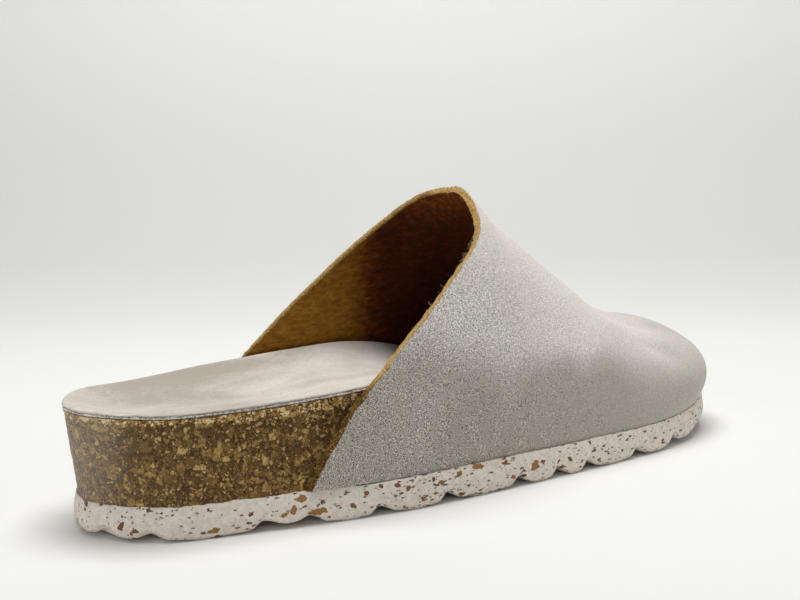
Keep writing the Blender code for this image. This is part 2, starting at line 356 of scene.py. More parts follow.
def grey_suede():
    """Split leather buffed to a short nap: dry, warm grey, with painted light over the instep, speckled by
    its tufts.
    """
    material, tree, place = new_finish(
        "grey_suede_nap",
        roughness=0.95,
        specular_ior_level=0.1,
        sheen_weight=0.2,
        sheen_roughness=0.4,
        sheen_tint=linear("#f0d8c0"),
    )
    # the nap's tufts are about 0.3 mm, and it is brushed in swathes of about 26 mm
    tufts = add(tree, "TexNoise", {"Scale": pitch(0.3), "Detail": 1.0, "Roughness": 0.7, "Vector": place})
    swathes = add(tree, "TexNoise", {"Scale": pitch(26.0), "Detail": 3.0, "Distortion": 0.6, "Vector": place})
    # painted light: the suede is paler over its top, as if lit from above
    painted_top_light = add(tree, "Attribute", out="Fac", attribute_name="painted_top_light")
    slow = add(tree, "Math", {0: swathes, 1: 0.5, 2: -0.25}, operation="MULTIPLY_ADD")
    tone = add(tree, "Math", {0: slow, 1: painted_top_light}, operation="ADD")
    hue = add(tree, "ValToRGB", {"Fac": tone}, [(0.0, "#b6b0a6"), (0.5, "#cfc9c2"), (1.0, "#e6e0da")])
    stand = add(tree, "Attribute", out="Fac", attribute_name="stand")
    speck = add(tree, "Math", {0: tufts, 1: 0.5}, operation="SUBTRACT")
    standing = add(tree, "Math", {0: speck, 1: stand}, operation="MULTIPLY")
    shade = add(tree, "Math", {0: standing, 1: 4.8, 2: 1.0}, operation="MULTIPLY_ADD")
    colour = add(tree, "VectorMath", {0: hue, "Scale": shade}, operation="SCALE")
    bump = add(tree, "Bump", {"Strength": 0.9, "Distance": 0.5 * MM, "Height": standing})
    return finished(material, colour, bump)


def brown_lining():
    """Vegetable-tanned leather, skin side in: warm brown with drawn streaks, with painted shade deep inside.
    """
    material, tree, place = new_finish("brown_lining_leather", roughness=0.7, specular_ior_level=0.15)
    # streaks 1.5 mm wide and two and a half times as long, and pebbles of 1.1 mm
    drawn = add(tree, "Mapping", {"Scale": (0.4, 1.0, 1.0), "Vector": place})
    streaks = add(tree, "TexNoise", {"Scale": pitch(1.5), "Detail": 5.0, "Roughness": 0.7, "Vector": drawn})
    pebbles = add(tree, "TexVoronoi", {"Scale": pitch(1.1), "Vector": place})
    # painted shade: the lining darkens deep inside the vamp
    painted_inner_shade = add(tree, "Attribute", out="Fac", attribute_name="painted_inner_shade")
    tone = add(tree, "Math", {0: painted_inner_shade, 1: -0.5, 2: streaks}, operation="MULTIPLY_ADD")
    browns = [(0.0, "#431a08"), (0.2, "#642f0a"), (0.5, "#9c6b20"), (0.7, "#b98835")]
    colour = add(tree, "ValToRGB", {"Fac": tone}, browns)
    height = add(tree, "Math", {0: streaks, 1: 0.7, 2: pebbles}, operation="MULTIPLY_ADD")
    bump = add(tree, "Bump", {"Strength": 0.5, "Distance": 0.2 * MM, "Height": height})
    return finished(material, colour, bump)


def raw_edge():
    """Leather's cut edge: dry ochre fibres with brown between, rubbed with painted shadow by the cork,
    painted shade inside.
    """
    material, tree, place = new_finish("raw_leather_edge", roughness=0.9, specular_ior_level=0.2)
    # the fibres are about 0.05 mm thick, and are drawn at 0.6 mm so that they show
    fibres = add(tree, "TexNoise", {"Scale": pitch(0.6), "Detail": 4.0, "Roughness": 0.75, "Vector": place})
    # darker where rubbed and in painted shadow by the cork, and in painted shade towards the lining on the
    # inner side
    rubbed_and_shaded = add(tree, "Attribute", out="Fac", attribute_name="rubbed_and_shaded")
    ochres = [(0.2, "#4a3013"), (0.36, "#85622c"), (0.5, "#ba9350"), (0.66, "#e2c990")]
    darks = [(0.34, "#1f1406"), (0.45, "#4a3312"), (0.57, "#7d5d26"), (0.7, "#b8954f")]
    ochre_edge = add(tree, "ValToRGB", {"Fac": fibres}, ochres)
    dark = add(tree, "ValToRGB", {"Fac": fibres}, darks)
    colour = add(tree, "Mix", {SHARE: rubbed_and_shaded, UNDER: ochre_edge, OVER: dark}, **OF_COLOURS)
    bump = add(tree, "Bump", {"Strength": 0.9, "Distance": 0.35 * MM, "Height": fibres})
    return finished(material, colour, bump)


def loose_fibre():
    """Leather fibres teased out of a cut edge: thin, matt, straw to off-white."""
    material, tree, place = new_finish("loose_leather_fibre", roughness=0.9)
    tone = add(tree, "TexNoise", {"Scale": pitch(3.0), "Vector": place})
    colour = add(tree, "ValToRGB", {"Fac": tone}, [(0.35, "#94754a"), (0.65, "#d3c9b8")])
    return finished(material, colour)


def suede_fringe():
    """Ends of the suede's nap along its cut: thin, matt, nearly white."""
    material, _, _ = new_finish("suede_fringe", roughness=0.95, base_color=linear("#e9e4db"))
    return material


# Layers of the cork's granules from the bottom up: their size, and the share of them that shows
Granule = namedtuple("Granule", "size share")
GRANULES = (Granule(1.0, 1.0), Granule(1.7, 0.5), Granule(2.7, 0.2))


def pressed_cork():
    """Cork granules of 1 to 3 mm packed in latex: ochre and olive brown, latex and painted shade between,
    bare at rim.
    """
    material, tree, place = new_finish(
        "pressed_cork",
        roughness=0.6,
        specular_ior_level=0.2,
        sheen_weight=0.9,
        sheen_roughness=0.25,
        sheen_tint=linear("#e8dfd3"),
    )
    side_tints = [(0.3, "#543a1b"), (0.5, "#74562d"), (0.68, "#8a6a39"), (0.82, "#a8874a"), (0.95, "#d2b274")]
    bare_tints = [(0.3, "#553814"), (0.4, "#a4752f"), (0.58, "#d8ac62"), (0.82, "#f6dca8")]
    # the cork is bare above a torn line round the rim, whose tears are about 2 mm
    rim = add(tree, "Attribute", out="Fac", attribute_name="rim")
    tears = add(tree, "TexNoise", {"Scale": pitch(2.0), "Detail": 3.0, "Roughness": 0.7, "Vector": place})
    ragged = add(tree, "Math", {0: tears, 1: 1.4, 2: rim}, operation="MULTIPLY_ADD")
    line = {"From Min": 1.05, "From Max": 1.2}
    bare = add(tree, "MapRange", {"Value": ragged, **line}, interpolation_type="SMOOTHSTEP")
    # the granules' outlines wander by half a millimetre, and they are mottled over about 0.7 mm
    at = wandering(tree, place, size=1.1, reach=0.5)
    crumb = add(tree, "TexNoise", {"Scale": pitch(0.7), "Detail": 3.0, "Roughness": 0.7, "Vector": place})
    colour = linear("#432c15")
    height = crumb
    for layer in GRANULES:
        scale = pitch(layer.size)
        cells = add(tree, "TexVoronoi", {"Scale": scale, "Vector": at}, out="Color")
        walls = add(tree, "TexVoronoi", {"Scale": scale, "Vector": at}, feature="DISTANCE_TO_EDGE")
        number = add(tree, "SeparateColor", {"Color": cells})
        # each granule fades into the dark latex at its edge: the latex's colour, and painted shade of its
        # rounded edge
        gap = {"From Min": 0.0, "From Max": 0.2}
        body = add(tree, "MapRange", {"Value": walls, **gap}, interpolation_type="SMOOTHSTEP")
        mottle = {0: crumb, 1: 1.1, 2: number.node.outputs["Green"]}
        shade = add(tree, "Math", mottle, operation="MULTIPLY_ADD")
        tone = add(tree, "Math", {0: shade, 1: 0.6}, operation="MULTIPLY")
        dull = add(tree, "ValToRGB", {"Fac": tone}, side_tints)
        bright = add(tree, "ValToRGB", {"Fac": tone}, bare_tints)
        granule = add(tree, "Mix", {SHARE: bare, UNDER: dull, OVER: bright}, **OF_COLOURS)
        chosen = add(tree, "Math", {0: number, 1: layer.share}, operation="LESS_THAN")
        shown = add(tree, "Math", {0: body, 1: chosen}, operation="MULTIPLY")
        colour = add(tree, "Mix", {SHARE: shown, UNDER: colour, OVER: granule}, **OF_COLOURS)
        height = add(tree, "Math", {0: body, 1: 0.35, 2: height}, operation="MULTIPLY_ADD")
    # painted shade: small pits drawn near black, as holes look, with a shallow dip in the bump
    pits, _ = grains(tree, at, size=1.4, share=0.05, reach=0.32, soft=0.12)
    colour = add(tree, "Mix", {SHARE: pits, UNDER: colour, OVER: linear("#1d120b")}, **OF_COLOURS)
    height = add(tree, "Math", {0: pits, 1: -0.8, 2: height}, operation="MULTIPLY_ADD")
    # painted glare: the cork turns pale grey at the heel's back, where light glances off it
    painted_glare = add(tree, "Attribute", out="Fac", attribute_name="painted_glare")
    colour = add(tree, "Mix", {SHARE: painted_glare, UNDER: colour, OVER: linear("#cfc6b8")}, **OF_COLOURS)
    bump = add(tree, "Bump", {"Strength": 0.8, "Distance": 0.3 * MM, "Height": height})
    return finished(material, colour, bump)


# Small flecks in the foam: the attribute that says how crowded they are, the size of their cells, the share
# of cells that shows one, how far it fills its cell, the cells' turn and drawing-out, and its two tints
Fleck = namedtuple("Fleck", "crowd size share reach turn drawn dark light")
FLECKS = (
    Fleck("flecks", 0.7, 0.11, 0.45, (0.4, 0.9, 0.3), (1.0, 1.0, 1.0), "#5d4e44", "#a08b7a"),
    Fleck("flecks", 1.0, 0.18, 0.52, (0.2, 0.5, 0.3), (0.5, 1.2, 1.2), "#4a3a30", "#8a7463"),
    Fleck("flecks", 1.3, 0.14, 0.55, (0.1, -0.7, -0.2), (0.45, 1.2, 1.2), "#503a2b", "#8f6547"),
    Fleck("flecks", 2.1, 0.06, 0.55, (0.3, 0.2, 0.8), (0.6, 1.2, 1.0), "#6b4029", "#9d6c45"),
    Fleck("strays", 4.0, 0.5, 0.55, (0.2, 0.3, 0.4), (0.75, 1.0, 1.3), "#7d5630", "#a57d46"),
)


def flecked_foam():
    """Moulded foam of ground offcuts: matt off-white with slender dark flecks and larger brown chips."""
    material, tree, place = new_finish("flecked_foam", roughness=0.8)
    # the foam is cloudy over about 1.6 mm
    cloud = add(tree, "TexNoise", {"Scale": pitch(1.6), "Detail": 5.0, "Roughness": 0.6, "Vector": place})
    colour = add(tree, "ValToRGB", {"Fac": cloud}, [(0.3, "#d8cdc0"), (0.55, "#e9e0d4"), (0.75, "#f3ece2")])
    height = cloud
    for fleck in FLECKS:
        turned = add(tree, "Mapping", {"Rotation": fleck.turn, "Scale": fleck.drawn, "Vector": place})
        at = wandering(tree, turned, size=0.4 * fleck.size, reach=0.3 * fleck.size)
        crowd = add(tree, "Attribute", out="Fac", attribute_name=fleck.crowd)
        share = add(tree, "Math", {0: crowd, 1: fleck.share}, operation="MULTIPLY")
        shown, number = grains(tree, at, fleck.size, share, fleck.reach, soft=0.07, distance="MANHATTAN")
        tint = add(tree, "ValToRGB", {"Fac": number}, [(0.0, fleck.dark), (1.0, fleck.light)])
        colour = add(tree, "Mix", {SHARE: shown, UNDER: colour, OVER: tint}, **OF_COLOURS)
        height = add(tree, "Math", {0: shown, 1: -0.3, 2: height}, operation="MULTIPLY_ADD")
    # the chips' outlines are torn over about 1.5 mm
    chips = add(tree, "Attribute", out="Fac", attribute_name="chips")
    torn = add(tree, "TexNoise", {"Scale": pitch(1.5), "Detail": 2.0, "Vector": place})
    ragged = add(tree, "Math", {0: torn, 1: 1.6, 2: chips}, operation="MULTIPLY_ADD")
    inside = add(tree, "MapRange", {"From Min": 0.82, "From Max": 0.92, "Value": ragged})
    golden = add(tree, "Attribute", out="Fac", attribute_name="golden")
    tint = add(tree, "ValToRGB", {"Fac": golden}, [(0.0, "#775039"), (0.5, "#855d39"), (1.0, "#98703c")])
    colour = add(tree, "Mix", {SHARE: inside, UNDER: colour, OVER: tint}, **OF_COLOURS)
    bump = add(tree, "Bump", {"Strength": 0.6, "Distance": 0.3 * MM, "Height": height})
    return finished(material, colour, bump)


def insole_suede():
    """Microfibre suede cover: pale warm grey, very short nap brushed lengthwise, darker at heel, painted
    light and shade.
    """
    material, tree, place = new_finish("insole_suede_cover", roughness=0.95, sheen_weight=0.15)
    # the nap is finer than 1 mm, and is drawn at that so that it shows
    nap = add(tree, "TexNoise", {"Scale": pitch(1.0), "Detail": 3.0, "Roughness": 0.7, "Vector": place})
    drawn = add(tree, "Mapping", {"Scale": (0.4, 1.0, 1.0), "Vector": place})
    swathe = {"Scale": pitch(11.0), "Detail": 5.0, "Roughness": 0.6, "Distortion": 0.6}
    swathes = add(tree, "TexNoise", {**swathe, "Vector": drawn})
    brushed = add(tree, "Math", {0: nap, 1: 0.5, 2: swathes}, operation="MULTIPLY_ADD")
    # darker across the heel, with painted light in front and painted shade and light in patches
    darkening = add(tree, "Attribute", out="Fac", attribute_name="darkening")
    tone = add(tree, "Math", {0: darkening, 1: -0.25, 2: brushed}, operation="MULTIPLY_ADD")
    colour = add(tree, "ValToRGB", {"Fac": tone}, [(0.4, "#b5aca0"), (0.73, "#d4ccc1"), (1.0, "#e8e2da")])
    bump = add(tree, "Bump", {"Strength": 0.4, "Distance": 0.2 * MM, "Height": brushed})
    return finished(material, colour, bump)


def insole_backing():
    """Cut edge of the cover's pale fleece backing: off-white fibres with grey gaps."""
    material, tree, place = new_finish("insole_fleece_edge", roughness=0.9)
    # the fibres are much finer than 0.9 mm, and are drawn at that so that they show
    fibres = add(tree, "TexNoise", {"Scale": pitch(0.9), "Detail": 3.0, "Roughness": 0.75, "Vector": place})
    colour = add(tree, "ValToRGB", {"Fac": fibres}, [(0.36, "#776d62"), (0.48, "#b6aea3"), (0.6, "#e3ddd3")])
    bump = add(tree, "Bump", {"Strength": 0.7, "Distance": 0.2 * MM, "Height": fibres})
    return finished(material, colour, bump)


def studio_paper():
    """Matt paper sweep: plain pale floor and wall in one, with painted shade where it starts to rise, painted
    light higher.
    """
    material, tree, _ = new_finish("studio_paper", roughness=1.0, specular_ior_level=0.0)
    # painted shade where the paper starts to rise and painted light higher up, by height
    tone = add(tree, "Attribute", out="Fac", attribute_name="tone")
    colour = add(tree, "VectorMath", {0: linear("#f2f2ef")[:3], "Scale": tone}, operation="SCALE")
    return finished(material, colour)


# The vamp

VAMP_WALL = 2.4
VAMP_ROWS = 112  # from the collar to the toe
VAMP_COLUMNS = 150  # from the foot up to the ridge
SPINE_BEND = 150.0  # station past which the sections lean back towards the ridge's end
SPINE_END = 226.0
SIDE_BULGE = 0.02
TOE_BULGE = 0.075
SWELL_PEAK = 6.75  # brings the greatest swell of up * (1 - up)**2 to 1
TOE_FOOT_LIFT = 1.8

# Sections: the ridge's height and side, and how full they are on either side (2 for an ellipse)
Section = namedtuple("Section", "station ridge ridge_side outer inner")
SECTIONS = (
    Section(50, 115.0, -2.0, 2.15, 2.1),
    Section(100, 109.0, -2.0, 2.25, 2.0),
    Section(128, 100.9, -2.0, 2.1, 2.0),
    Section(138, 95.2, -2.0, 1.9, 1.9),
    Section(143, 90.6, -2.0, 1.75, 1.85),
    Section(152, 84.0, -1.0, 1.8, 1.82),
    Section(162, 76.0, 0.0, 1.9, 1.9),
    Section(172, 68.4, 1.0, 2.0, 2.0),
    Section(184, 59.4, 2.0, 2.1, 2.1),
    Section(196, 51.4, 3.0, 2.2, 2.2),
    Section(206, 46.8, 3.0, 2.36, 2.36),
    Section(216, 43.9, 2.5, 2.57, 2.57),
    Section(230, 41.7, 2.5, 2.6, 2.6),
    Section(262, 41.0, 2.5, 2.6, 2.6),
)

# Stations of the collar on either side, from the foot (0) to the ridge (1)
Collar = namedtuple("Collar", "rise outer inner")
COLLAR = (
    Collar(0.0, 53.3, 52.0),
    Collar(0.1, 65.0, 64.5),
    Collar(0.2, 80.4, 79.2),
    Collar(0.3, 96.4, 93.9),
    Collar(0.4, 110.2, 108.4),
    Collar(0.5, 121.4, 120.2),
    Collar(0.6, 127.9, 127.8),
    Collar(0.7, 131.2, 132.5),
    Collar(0.8, 133.8, 135.6),
    Collar(0.9, 136.4, 137.5),
    Collar(1.0, 138.4, 138.4),
)

# Folds of the suede over the toes: soft troughs between two places, or ridges where the depth is below zero
Fold = namedtuple("Fold", "start end width depth")
FOLDS = (
    Fold((206, -24, 44), (240, -18, 36), 5.0, 1.3),
    Fold((205, -36, 37), (216, -38.5, 31), 4.0, 1.0),
    Fold((184, -33, 46), (212, -33, 37), 4.5, -0.9),
    Fold((188, -20, 52), (205, 6, 47), 8.0, 1.0),
    Fold((196, 20, 46), (214, 36, 35), 6.0, 0.9),
)
FOLD_FOOT = Ease(0.0, 0.15, 1.0)  # rise over which folds set in
SAG = 0.35  # slow unevenness of the vamp
SAG_SIZE = 38.0

# The cut edge at the collar
EDGE_ROWS = 6
EDGE_ROUND = 0.5  # how far it bulges past the collar's line
EDGE_SQUARE = 0.45  # below 1 it is square with eased corners
EDGE_FRAY = (Rough(0.36, 1.3, 0.0), Rough(0.2, 3.0, 5.5))
ON_CORK = Ease(46, 38, 1.0)  # heights over which it comes to lie on the cork
CORK_FRAY = 0.9  # how much more it is frayed there
SKIVE = 0.9  # how far the lining stands past the suede there
SKIVE_ROWS = 8  # rows of the vamp over which that dies out
FAR_COLUMN = VAMP_COLUMNS + 20  # column past which it is the inner side's
FAR_FRAY = 0.45  # share of the fray there
FOOT_DEPTHS = (0.33, 0.67)  # places across the wall's lower edge
SUEDE, LINING, RAW = 0, 1, 2  # numbers of the vamp's materials

# Tones of the vamp: painted light on the suede's top, painted shade in the lining, a rubbed cut edge with
# painted shadow
TOP_LIGHT_STATION = 100
TOP_LIGHT_FROM = 47.0  # height at that station above which painted light makes the suede pale
TOP_LIGHT_FALL = 0.14  # fall of that height towards the toe
TOP_LIGHT_BLEND = 10.0
TOE_TOP_LIGHT = 0.5  # the toe's even painted light, from 0 as on the side to 1 as on the painted pale top
TOE_EVEN = Ease(195, 235, 0.8)  # stations over which the suede comes to it
TOE_CALM = Ease(95, 195, 0.7)  # stations over which the nap comes to lie flat
TOP_CALM = Ease(60, 85, 0.6)  # and heights over which it does
INWARD_SHADE = Ease(115, 142, 1.0)  # stations over which painted shade darkens the lining inwards
INWARD_SHADE_LEVEL = 50
INWARD_SHADE_SLANT = 0.25  # stations that this comes sooner for each millimetre above that level
INWARD_SHADE_LIT = Ease(78, 92, 0.4)  # heights over which light from above weakens that painted shade
LOW_RUB_AND_SHADOW = Ease(44, 36, 1.0)  # heights over which the cut edge is darker by the cork: rubbed, with painted shadow
FAR_SIDE_SHADE = Ease(0.85, 0.2, 0.8)  # shares of the wall over which painted shade darkens it towards the lining on the inner side

# Places where the suede is paler or darker, added to its painted light
SUEDE_PATCHES = (
    Patch((97, -42, 50), 12, -0.25),
    Patch((112, -42, 52), 9, 0.3),
    Patch((93, -44, 33), 12, 0.15),
    Patch((106, -43, 43), 8, 0.2),
    Patch((138, -35, 63), 13, 0.2),
    Patch((151, -40, 45), 11, 0.35),
    Patch((166, -38, 46), 10, 0.3),
    Patch((173, -41, 38), 8, -0.2),
    Patch((159, -45, 29), 12, -0.3),
    Patch((143, -45, 25), 12, -0.2),
    Patch((196, -44, 28), 12, 0.15),
    Patch((127, -44, 33), 10, 0.15),
    Patch((118, -37, 68), 11, 0.25),
    Patch((209, -36, 34), 8, 0.25),
    Patch((128, -43, 43), 9, 0.3),
    Patch((167, -40, 43), 6, 0.35),
    Patch((161, -44, 32), 6, 0.3),
)


def spine_station(start):
    """Where on the ridge a section ends, for the station at which it starts on the outline."""
    reach = BODY_LENGTH - SPINE_BEND
    keep = SPINE_END - SPINE_BEND
    run = np.clip((start - SPINE_BEND) / reach, 0, 1)
    ease = run - (1 - keep / reach) * run**2 * (2 - run)
    return np.where(start < SPINE_BEND, start, SPINE_BEND + reach * ease)


def vamp_point(side, share, rise):
    """Inside of the vamp: share runs along the outer outline, rise from the sole (0) to the ridge (1)."""
    start = edge(OUTER, share, 0.0)[0]
    if side == INNER:
        share = share_at(INNER, start)
    station, across = edge(side, share, SEAT_GAP)
    ridge_station = spine_station(start)
    ridge_side = column(SECTIONS, "ridge_side", ridge_station)
    fullness = column(SECTIONS, "outer" if side == OUTER else "inner", start)
    angle = rise * np.pi / 2
    out = np.cos(angle) ** (2 / fullness)
    up = np.sin(angle) ** (2 / fullness)
    toe = np.clip((start - SPINE_BEND) / (BODY_LENGTH - SPINE_BEND), 0, 1) ** 2
    out = out * (1 + (SIDE_BULGE + (TOE_BULGE - SIDE_BULGE) * toe) * SWELL_PEAK * up * (1 - up) ** 2)
    x = ridge_station + (station - ridge_station) * out
    y = ridge_side + (across - ridge_side) * out
    foot = sole_top(x) + SEAT_GAP + TOE_FOOT_LIFT * toe
    z = foot + (column(SECTIONS, "ridge", x) - VAMP_WALL - foot) * up
    return np.stack([x, y, z], axis=-1)


def vamp_sheet():
    """Inside of the vamp: rows from collar to toe, columns from outer foot over the ridge to inner foot."""
    rises = np.linspace(0, 1, VAMP_COLUMNS + 1)
    along = np.linspace(0, 1, VAMP_ROWS + 1)
    halves = []
    for side, name in ((OUTER, "outer"), (INNER, "inner")):
        start = share_at(OUTER, column(COLLAR, name, rises))
        share = start + (1 - start) * along[:, None]
        halves.append(vamp_point(side, share, np.broadcast_to(rises, share.shape)))
    return np.concatenate([halves[0], halves[1][:, -2::-1]], axis=1)


def vamp_normals(sheet):
    """Outward normals of the vamp, the same on both sides where they meet at the toe."""
    normals = np.cross(np.gradient(sheet, axis=0), np.gradient(sheet, axis=1))
    normals[-1, VAMP_COLUMNS] = normals[-2, VAMP_COLUMNS]
    normals[-1, VAMP_COLUMNS + 1 :] = normals[-1, VAMP_COLUMNS - 1 :: -1]
    return unit(normals)


def folded(sheet, normals):
    """The vamp with its soft folds and slow unevenness, which die out towards its foot."""
    outside = sheet + normals * VAMP_WALL
    lift = SAG * bumps(outside, SAG_SIZE)
    for fold in FOLDS:
        start, run = np.array(fold.start), np.subtract(fold.end, fold.start)
        share = np.clip((outside - start) @ run / (run @ run), 0, 1)
        gap = np.linalg.norm(outside - start - share[..., None] * run, axis=-1)
        lift = lift - fold.depth * bell(gap, fold.width)
    rise = 1 - np.abs(np.linspace(-1, 1, 2 * VAMP_COLUMNS + 1))
    return sheet + normals * (lift * eased(FOLD_FOOT, rise))[..., None]


def wall_round():
    """Once round the vamp's wall: the sheet's column, and the depth from the suede (0) to the lining (1)."""
    last = 2 * VAMP_COLUMNS
    over = np.arange(last + 1)
    columns = np.concatenate([over, [last, last], over[::-1], [0, 0], [0]])
    suede, lining = np.zeros(last + 1), np.ones(last + 1)
    return columns, np.concatenate([suede, FOOT_DEPTHS, lining, FOOT_DEPTHS[::-1], [0.0]])


def wall_along():
    """From the cut's middle to the toe: the sheet's row, the wall's thickness, the reach past the collar."""
    turn = np.linspace(np.pi / 2, 0, EDGE_ROWS + 1)[:-1]
    rows = np.concatenate([np.zeros(EDGE_ROWS, int), np.arange(VAMP_ROWS + 1)])
    thick = np.concatenate([np.cos(turn) ** EDGE_SQUARE, np.ones(VAMP_ROWS + 1)])
    thick[0] = 0.0
    past = np.concatenate([EDGE_ROUND * np.sin(turn) ** EDGE_SQUARE, np.zeros(VAMP_ROWS + 1)])
    return rows, thick, past


def vamp_finish(shape):
    """Material numbers of the vamp's faces: suede outside, lining inside, raw at the cut and the foot."""
    last = 2 * VAMP_COLUMNS
    inside = last + len(FOOT_DEPTHS) + 1
    finish = np.full(shape, RAW)
    finish[EDGE_ROWS:, :last] = SUEDE
    finish[EDGE_ROWS:, inside : inside + last] = LINING
    return finish


def vamp_traits(points, share, far):
    """Painted light on the suede's top, how its nap stands, painted shade in the lining, where the cut edge
    is dark.
    """
    station, _, high = np.moveaxis(points, -1, 0)
    # painted light: the suede is paler above a height that falls towards the toe
    crest = TOP_LIGHT_FROM - TOP_LIGHT_FALL * (station - TOP_LIGHT_STATION)
    painted_top_light = eased(Ease(crest - TOP_LIGHT_BLEND, crest + TOP_LIGHT_BLEND, 1.0), high)
    painted_top_light = patched(painted_top_light, points, SUEDE_PATCHES)
    return {
        "painted_top_light": painted_top_light + (TOE_TOP_LIGHT - painted_top_light) * eased(TOE_EVEN, station),
        "stand": (1 - eased(TOE_CALM, station)) * (1 - eased(TOP_CALM, high)),
        # painted shade deep inside the lining, weaker high up
        "painted_inner_shade": eased(INWARD_SHADE, station + INWARD_SHADE_SLANT * (high - INWARD_SHADE_LEVEL)) * (1 - eased(INWARD_SHADE_LIT, high)),
        # rubbed with painted shadow by the cork, painted shade on the inner side
        "rubbed_and_shaded": np.maximum(eased(LOW_RUB_AND_SHADOW, high), far * eased(FAR_SIDE_SHADE, share)),
    }


def build_vamp():
    """Suede vamp with its lining and raw cut edge, as one closed shell. Gives the sheet it stands on."""
    sheet = vamp_sheet()
    sheet = folded(sheet, vamp_normals(sheet))
    wall = vamp_normals(sheet) * VAMP_WALL
    ahead = unit(sheet[0] - sheet[1])
    columns, depth = wall_round()
    rows, thick, past = wall_along()
    share = 0.5 + (0.5 - depth) * thick[:, None]  # of the wall, from 0 at the lining to 1 at the suede
    points = sheet[rows][:, columns] + wall[rows][:, columns] * share[..., None]
    points = points + ahead[columns] * past[:, None, None]
    on_cork = eased(ON_CORK, sheet[0, :, 2])[columns]
    skived = np.concatenate([np.ones(EDGE_ROWS), np.clip(1 - np.arange(VAMP_ROWS + 1) / SKIVE_ROWS, 0, 1)])
    points += ahead[columns] * (SKIVE * on_cork * (1 - share) * skived[:, None])[..., None]
    far = columns > FAR_COLUMN
    cut = points[: EDGE_ROWS + 1]
    fray = roughness(cut, EDGE_FRAY) * (1 + CORK_FRAY * on_cork) * np.where(far, FAR_FRAY, 1.0)
    cut += ahead[columns] * fray[..., None]
    finish = vamp_finish((points.shape[0] - 1, points.shape[1] - 1))
    materials = [grey_suede(), brown_lining(), raw_edge()]
    piece = laid_grid("suede_vamp", points, materials, finish, vamp_traits(points, share, far))
    dress(piece, "grey_suede", "upper")
    return sheet, wall, ahead


# Fibres at the vamp's cut edge

FIBRE_RADIUS = 0.07
FIBRE_TIP = 0.45  # share of that radius at the tip
FIBRE_POINTS = 7
FIBRE_ROOT = 0.25  # how deep a fibre is rooted in the cut edge
FIBRE_FAN = 0.5  # how far it strays from straight out, across the wall
FIBRE_SWAY = 1  # and along the collar
FIBRE_TURNS = (0.25, 0.9)  # least and most of a full turn that it curls
FIBRE_STRAIGHT = 0.4  # share of its length that runs straight on
FIBRE_CURL = 0.96  # share that curls
FIBRE_SEED = 5
LOOSE, FRINGE = 0, 1  # numbers of the fibres' materials

# How many, first and last column of the collar, shortest and longest, least and greatest share of the wall
Tuft = namedtuple("Tuft", "count first last short long inside outside material")
TUFTS = (
    Tuft(16, 48, 84, 1.6, 3.2, 0.0, 0.35, LOOSE),
    Tuft(5, 112, 150, 1.2, 2.2, 0.0, 1.0, LOOSE),
    Tuft(700, 8, 292, 0.3, 0.75, 0.8, 1.0, FRINGE),
    Tuft(140, 14, 165, 0.3, 0.7, 0.0, 0.3, LOOSE),
)


def add_fibre(curve, points, material):
    """One fibre along its points, thinner towards its tip."""
    spline = curve.splines.new("POLY")
    spline.material_index = material
    spline.points.add(FIBRE_POINTS - 1)
    for point, place, thick in zip(spline.points, placed(points), np.linspace(1, FIBRE_TIP, FIBRE_POINTS)):
        point.co = (*place, 1.0)
        point.radius = thick


def build_fibres(sheet, wall, ahead):
    """Fibres that stand out of the collar's cut edge: a short fringe and a few long curled hairs."""
    draw = np.random.default_rng(FIBRE_SEED)
    curve = bpy.data.curves.new("collar_fibres", "CURVE")
    curve.dimensions = "3D"
    curve.bevel_depth = FIBRE_RADIUS * MM
    curve.bevel_resolution = 0
    curve.materials.append(loose_fibre())
    curve.materials.append(suede_fringe())
    across = wall[0] / VAMP_WALL
    along = unit(np.gradient(sheet[0], axis=0))
    t = np.linspace(0, 1, FIBRE_POINTS)[:, None]
    for tuft in TUFTS:
        for _ in range(tuft.count):
            at = int(draw.integers(tuft.first, tuft.last))
            length = draw.uniform(tuft.short, tuft.long)
            share = draw.uniform(tuft.inside, tuft.outside)
            fan = 2 * share - 1 + draw.uniform(-FIBRE_FAN, FIBRE_FAN)
            sway = draw.uniform(-FIBRE_SWAY, FIBRE_SWAY)
            heading = unit(ahead[at] + across[at] * fan + along[at] * sway)
            side = unit(np.cross(heading, draw.normal(size=3)))
            turn = draw.uniform(*FIBRE_TURNS) * 2 * np.pi
            curl = (np.sin(turn * t) * heading + (1 - np.cos(turn * t)) * side) / turn
            root = sheet[0, at] + wall[0, at] * share + ahead[at] * (EDGE_ROUND - FIBRE_ROOT)
            points = root + (FIBRE_STRAIGHT * heading * t + FIBRE_CURL * curl) * length
            add_fibre(curve, points, tuft.material)
    piece = bpy.data.objects.new("collar_fibres", curve)
    bpy.context.scene.collection.objects.link(piece)
    bpy.ops.object.select_all(action="DESELECT")
    bpy.context.view_layer.objects.active = piece
    piece.select_set(True)
    bpy.ops.object.convert(target="MESH")
    dress(bpy.context.object, "grey_suede")


# The insole

INSOLE_ROWS = 300
INSOLE_COLUMNS = 56
INSOLE_INSET = 0.45  # how far inside the rim its top ends

# Its edge from top to bottom: how far it stands out from the rim, and how far below the top it lies
Lip = namedtuple("Lip", "out drop")
INSOLE_EDGE = (
    Lip(-0.12, 0.05),
    Lip(0.1, 0.2),
    Lip(0.14, 0.42),
    Lip(0.08, 0.58),
    Lip(-0.22, 0.63),
    Lip(-0.22, 0.69),
    Lip(0.1, 0.74),
    Lip(0.36, 0.94),
    Lip(0.38, 1.15),
    Lip(0.16, 1.36),
)
COVER_FACES = 4  # faces of the edge above the dark line between the cover and its backing
INSOLE_FRAY = (Rough(0.2, 1.6, 0.0),)
INSOLE_WAVE = (Rough(0.1, 6.0, 2.5),)
FRAY_CHANGE = 4  # how much faster the fray changes down the edge than along it

